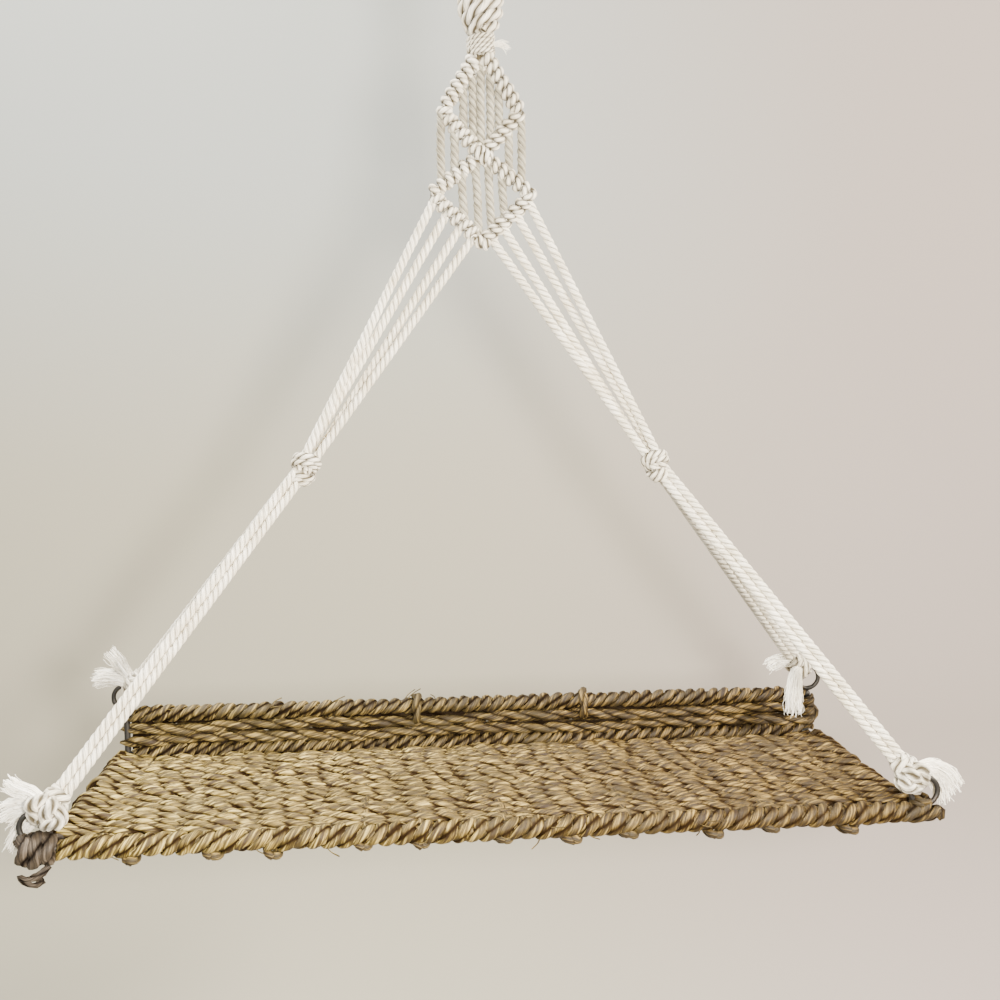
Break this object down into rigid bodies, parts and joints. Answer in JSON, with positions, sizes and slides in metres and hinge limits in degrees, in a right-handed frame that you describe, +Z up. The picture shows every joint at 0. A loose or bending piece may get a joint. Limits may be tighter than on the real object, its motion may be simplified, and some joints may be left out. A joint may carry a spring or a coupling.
{
  "type": "hanging rope shelf",
  "caption": "Hanging shelf: a shallow woven seagrass tray with a low back edge, slung by knotted cotton macrame cords from a steel ring.",
  "frame": {"origin": "the hook's seat: the lowest point of the inside of the hanging ring's top, where a hook's top bears", "axes": "+Z up; +X along the shelf, to the right as seen from the front; -Y towards the front, and the low back edge is at +Y"},
  "size_m": [0.5392, 0.1667, 0.5711],
  "materials": {
    "cotton": "undyed off-white cotton cord, three strands twisted, soft and matt",
    "seagrass": "dried seagrass blades twisted in pairs, straw to khaki, dull sheen",
    "dark_steel": "dark grey painted steel wire, satin",
    "bright_steel": "plain bright steel wire, smooth"
  },
  "bodies": {
    "ring": {"hanging_ring": "bright_steel"},
    "folded_cords": {"folded_cord_left_inner": "cotton", "folded_cord_right_inner": "cotton", "folded_cord_left_outer": "cotton", "folded_cord_right_outer": "cotton", "gather_ball": "cotton"},
    "neck": {"neck_sinnet": "cotton", "neck_wrap": "cotton"},
    "hanger": {"top_knot": "cotton", "ridge_upper_left": "cotton", "ridge_upper_right": "cotton", "ridge_lower_left": "cotton", "ridge_lower_right": "cotton", "upper_inner_cord_1": "cotton", "upper_inner_cord_2": "cotton", "upper_inner_cord_3": "cotton", "upper_inner_cord_4": "cotton", "upper_inner_cord_5": "cotton", "lower_inner_cord_1": "cotton", "lower_inner_cord_2": "cotton", "lower_inner_cord_3": "cotton", "lower_inner_cord_4": "cotton", "outer_cord_left_near": "cotton", "outer_cord_left_far": "cotton", "outer_cord_right_near": "cotton", "outer_cord_right_far": "cotton", "upper_cord_left_1": "cotton", "upper_cord_left_2": "cotton", "upper_cord_left_3": "cotton", "upper_cord_left_4": "cotton", "upper_cord_right_1": "cotton", "upper_cord_right_2": "cotton", "upper_cord_right_3": "cotton", "upper_cord_right_4": "cotton", "mid_knot_left": "cotton", "mid_knot_right": "cotton"},
    "tray": {"front_winding": "seagrass", "back_winding": "seagrass", "top_winding": "seagrass", "deck_weave": "seagrass", "upstand_weave": "seagrass", "rail_end_left": "seagrass", "rail_end_right": "seagrass", "wire_frame": "dark_steel", "eye_front_left": "dark_steel", "eye_front_right": "dark_steel", "eye_back_left": "dark_steel", "eye_back_right": "dark_steel", "corner_knot_front_left": "cotton", "corner_knot_front_right": "cotton", "corner_knot_back_left": "cotton", "corner_knot_back_right": "cotton", "leg_front_left_outer": "cotton", "leg_front_left_inner": "cotton", "leg_front_right_outer": "cotton", "leg_front_right_inner": "cotton", "leg_back_left_outer": "cotton", "leg_back_left_inner": "cotton", "leg_back_right_outer": "cotton", "leg_back_right_inner": "cotton"}
  },
  "joints": [
    {"name": "hanger_swing", "type": "hinge", "parent": "ring", "child": "folded_cords", "pos_m": [0, 0, -0.03361], "axis": [1, 0, 0], "range_deg": [-30, 30]},
    {"name": "side_sway", "type": "hinge", "parent": "folded_cords", "child": "neck", "pos_m": [0, 0, -0.05761], "axis": [0, 1, 0], "range_deg": [-20, 20]},
    {"name": "twist", "type": "hinge", "parent": "neck", "child": "hanger", "pos_m": [0, 0, -0.11571], "axis": [0, 0, 1], "range_deg": [-60, 60], "stiffness_Nm_per_rad": 0.02},
    {"name": "tray_tilt", "type": "hinge", "parent": "hanger", "child": "tray", "pos_m": [0, 0, -0.36151], "axis": [1, 0, 0], "range_deg": [-15, 15]}
  ]
}
